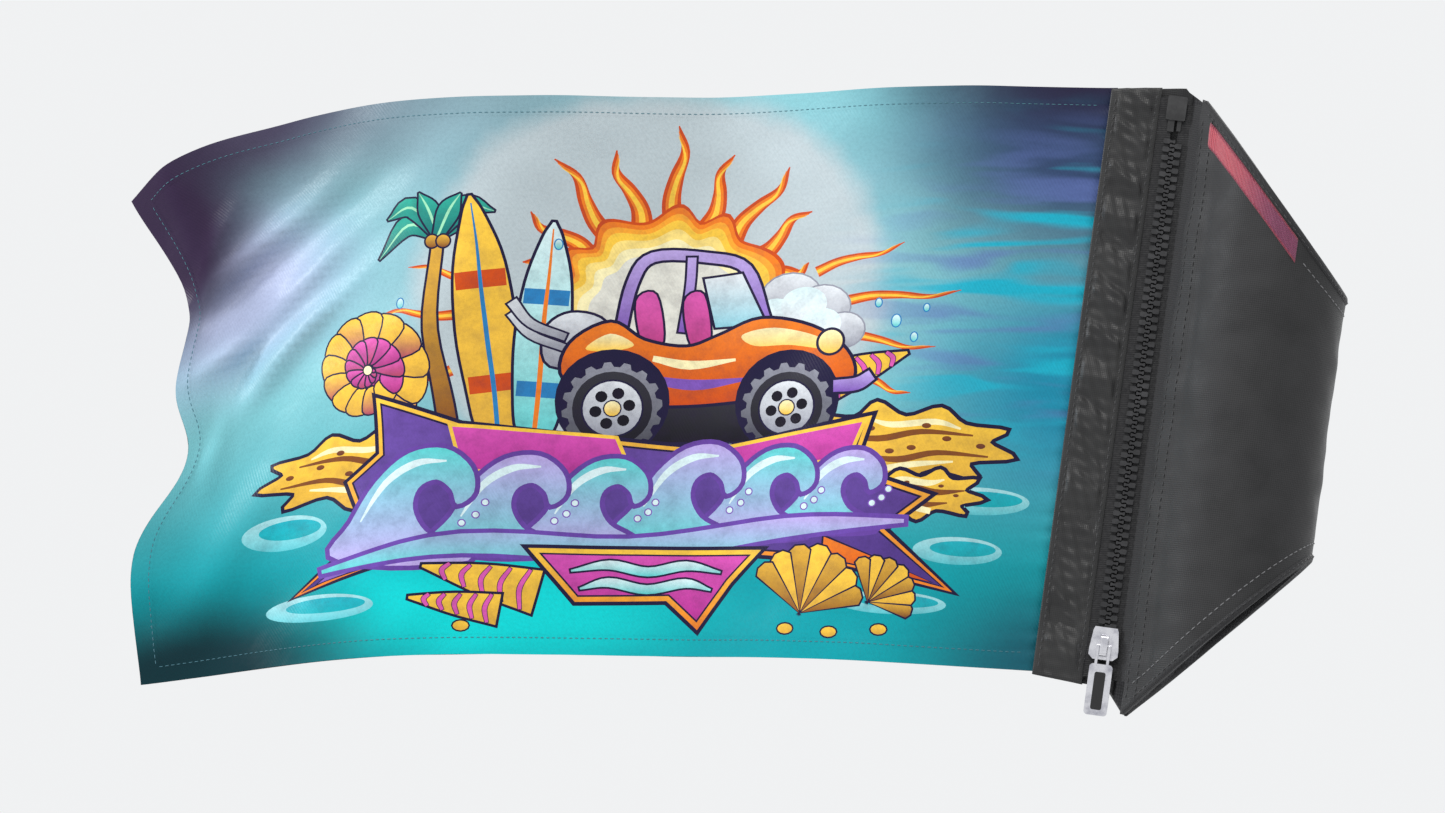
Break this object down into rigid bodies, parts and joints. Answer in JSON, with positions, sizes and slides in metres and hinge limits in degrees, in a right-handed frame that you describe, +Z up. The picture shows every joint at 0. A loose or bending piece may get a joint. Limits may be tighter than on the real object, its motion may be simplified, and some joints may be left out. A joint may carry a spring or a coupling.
{
  "type": "roll bar flag",
  "caption": "Printed flag on a black fabric sleeve that zips round a roll bar, with a header strip, an opening side panel, a zip slider with pull, and cloth that swings at the hoist.",
  "frame": {"origin": "on the roll bar's axis, half-way up the sleeve's back edge", "axes": "+X from the flag towards the bar, level; +Y to the far side, away from the zipper's face; +Z up. The bar's axis leans 8 degrees, top towards +X"},
  "size_m": [0.5403, 0.0698, 0.274],
  "materials": {
    "printed_satin": "satin polyester, printed on both faces",
    "sleeve_fabric": "smooth coated fabric",
    "lining": "brushed",
    "binding": "woven tape",
    "header_fabric": "puckered ripstop",
    "webbing": "woven webbing",
    "zip_tape": "woven tape",
    "zip_teeth": "moulded",
    "zip_box": "moulded",
    "label": "woven ribbon",
    "slider_metal": "nickel plated",
    "pull_insert": "matt"
  },
  "bodies": {
    "sleeve": {"far_panel": "sleeve_fabric", "far_lining": "lining", "far_binding_upper": "binding", "far_binding_lower": "binding", "header_front_ply": "header_fabric", "header_webbing": "webbing", "header_back_ply": "header_fabric", "zip_tape_header": "zip_tape", "zip_teeth_header": "zip_teeth", "zip_stop_header": "zip_teeth", "zip_box": "zip_box"},
    "flap": {"near_panel": "sleeve_fabric", "near_lining": "lining", "near_binding_upper": "binding", "near_binding_lower": "binding", "label_strip": "label", "flap_facing": "webbing", "zip_tape_flap": "zip_tape", "zip_teeth_flap": "zip_teeth", "zip_stop_flap": "zip_teeth", "zip_pin": "zip_box"},
    "slider": {"slider_body": "slider_metal", "slider_bridge": "slider_metal", "slider_lock_spring": "slider_metal"},
    "pull": {"pull_frame": "slider_metal", "pull_insert": "pull_insert"},
    "flag": {"flag_cloth": "printed_satin", "flag_hem_top": "printed_satin", "flag_hem_bottom": "printed_satin", "flag_hem_fly": "printed_satin"}
  },
  "joints": [
    {"name": "slider_travel", "type": "slide", "parent": "sleeve", "child": "slider", "axis": [0.1392, 0, 0.9903], "range_m": [0, 0.22], "deforming": ["zip_teeth_header", "zip_teeth_flap"]},
    {"name": "pull_swing", "type": "hinge", "parent": "slider", "child": "pull", "pos_m": [-0.06258, -0.0065, -0.09724], "axis": [-0.9903, 0, 0.1392], "range_deg": [0, 175]},
    {"name": "flap_open", "type": "hinge", "parent": "sleeve", "child": "flap", "pos_m": [0.03471, 0, -0.00488], "axis": [0.1392, 0, 0.9903], "range_deg": [0, 150], "deforming": ["zip_tape_flap", "zip_stop_flap", "zip_pin"]},
    {"name": "flag_swing", "type": "hinge", "parent": "sleeve", "child": "flag", "pos_m": [-0.07764, 0, 0.01091], "axis": [0.1392, 0, 0.9903], "range_deg": [-60, 60]}
  ]
}
